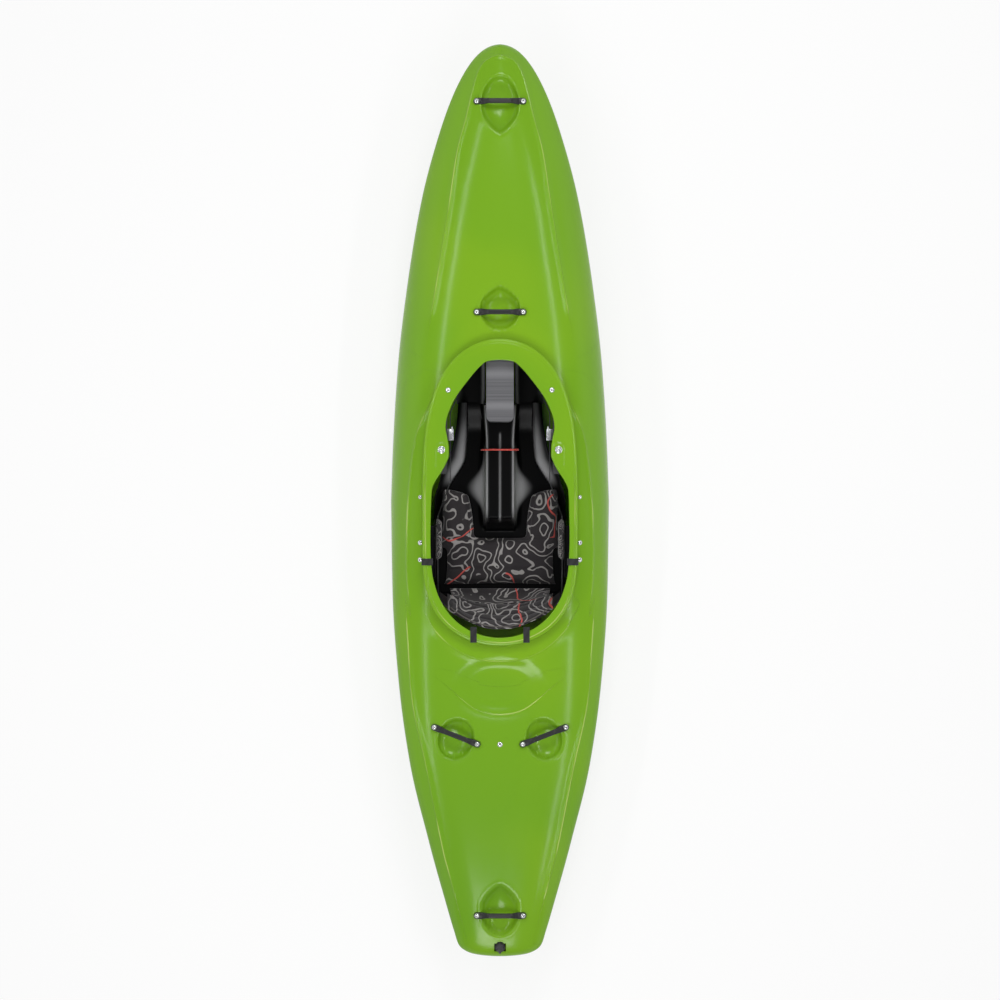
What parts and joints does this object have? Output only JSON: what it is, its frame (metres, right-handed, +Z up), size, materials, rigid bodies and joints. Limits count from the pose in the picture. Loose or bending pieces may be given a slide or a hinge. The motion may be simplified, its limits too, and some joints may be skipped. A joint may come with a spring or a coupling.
{
  "type": "whitewater kayak",
  "caption": "Short rockered river kayak with a keyhole cockpit, grab handles over scoops, adjustable seat, backband, thigh braces and foot pedals.",
  "frame": {"origin": "under the middle of the boat, on the plane its flat bottom stands on", "axes": "+Y towards the bow, +X to the right, +Z up"},
  "size_m": [0.656, 2.734, 0.374],
  "materials": {
    "shell_green": "rotomoulded polyethylene, satin",
    "handle_black": "moulded, fine grain",
    "steel": "stainless, polished domes",
    "drain_black": "moulded, satin",
    "seal_rubber": "soft rubber",
    "pillar_foam": "closed-cell foam, skived face",
    "seat_black": "moulded, fine texture",
    "fabric_dark": "woven cover with contour lines",
    "bungee_red": "braided sleeve",
    "frame_black": "moulded",
    "foam_black": "closed-cell foam",
    "ratchet_metal": "satin",
    "webbing": "woven webbing",
    "rail_aluminium": "extruded, anodised"
  },
  "bodies": {
    "shell": {"hull_shell": "shell_green", "bow_handle": "handle_black", "cockpit_handle": "handle_black", "rear_handle_left": "handle_black", "rear_handle_right": "handle_black", "stern_handle": "handle_black", "bow_handle_bolt_1": "steel", "bow_handle_bolt_2": "steel", "cockpit_handle_bolt_1": "steel", "cockpit_handle_bolt_2": "steel", "rear_handle_left_bolt_1": "steel", "rear_handle_left_bolt_2": "steel", "rear_handle_right_bolt_1": "steel", "rear_handle_right_bolt_2": "steel", "stern_handle_bolt_1": "steel", "stern_handle_bolt_2": "steel", "drain_socket": "drain_black", "front_pillar": "pillar_foam", "rear_pillar": "pillar_foam", "rear_pillar_screw": "steel", "seat_bolt_1": "steel", "seat_bolt_2": "steel", "seat_bolt_3": "steel", "seat_bolt_4": "steel", "deck_screw_left": "steel", "rim_bolt_left": "steel", "rear_strap_left": "webbing", "rim_strap_left": "webbing", "foot_rail_left": "rail_aluminium", "deck_screw_right": "steel", "rim_bolt_right": "steel", "rear_strap_right": "webbing", "rim_strap_right": "webbing", "foot_rail_right": "rail_aluminium"},
    "seat": {"seat": "seat_black", "seat_pad": "fabric_dark", "hip_pad_left": "fabric_dark", "hip_pad_right": "fabric_dark", "console_bungee": "bungee_red"},
    "backband": {"backband_pad": "fabric_dark", "backband_frame": "frame_black", "ladder_strap_left": "frame_black", "ladder_strap_right": "frame_black"},
    "thigh_brace_left": {"thigh_brace_left": "frame_black", "thigh_pad_left": "foam_black", "thigh_bolt_left": "steel", "ratchet_base_left": "ratchet_metal", "ratchet_pin_left": "steel"},
    "ratchet_lever_left": {"ratchet_lever_left": "ratchet_metal"},
    "foot_pedal_left": {"foot_pedal_left": "frame_black"},
    "thigh_brace_right": {"thigh_brace_right": "frame_black", "thigh_pad_right": "foam_black", "thigh_bolt_right": "steel", "ratchet_base_right": "ratchet_metal", "ratchet_pin_right": "steel"},
    "ratchet_lever_right": {"ratchet_lever_right": "ratchet_metal"},
    "foot_pedal_right": {"foot_pedal_right": "frame_black"},
    "drain_seal": {"drain_seal": "seal_rubber"},
    "drain_plug": {"drain_plug": "drain_black"}
  },
  "joints": [
    {"name": "seat_slide", "type": "slide", "parent": "shell", "child": "seat", "axis": [0, 1, 0], "range_m": [-0.038, 0.038]},
    {"name": "backband_slide", "type": "slide", "parent": "shell", "child": "backband", "axis": [0, 1, 0], "range_m": [0, 0.05]},
    {"name": "thigh_brace_left_slide", "type": "slide", "parent": "shell", "child": "thigh_brace_left", "axis": [0, 0.9965, 0.084], "range_m": [-0.042, 0]},
    {"name": "ratchet_lever_left_hinge", "type": "hinge", "parent": "thigh_brace_left", "child": "ratchet_lever_left", "pos_m": [-0.1427, 0.199, 0.318], "axis": [0, 0, -1], "range_deg": [0, 55]},
    {"name": "foot_pedal_left_slide", "type": "slide", "parent": "shell", "child": "foot_pedal_left", "axis": [0.158, 0.9874, 0], "range_m": [-0.08, 0.08]},
    {"name": "thigh_brace_right_slide", "type": "slide", "parent": "shell", "child": "thigh_brace_right", "axis": [0, 0.9965, 0.084], "range_m": [-0.042, 0]},
    {"name": "ratchet_lever_right_hinge", "type": "hinge", "parent": "thigh_brace_right", "child": "ratchet_lever_right", "pos_m": [0.1427, 0.199, 0.318], "axis": [0, 0, 1], "range_deg": [0, 55]},
    {"name": "foot_pedal_right_slide", "type": "slide", "parent": "shell", "child": "foot_pedal_right", "axis": [-0.158, 0.9874, 0], "range_m": [-0.08, 0.08]},
    {"name": "drain_plug_out", "type": "slide", "parent": "shell", "child": "drain_seal", "axis": [0, 0, 1], "range_m": [0, 0.018]},
    {"name": "drain_plug_turn", "type": "hinge", "parent": "drain_seal", "child": "drain_plug", "pos_m": [0, -1.337, 0.22], "axis": [0, 0, 1], "range_deg": [0, 2160]}
  ],
  "couplings": [
    {"joint": "drain_plug_turn", "follows": "drain_plug_out", "rad_per_m": 2094.4}
  ]
}
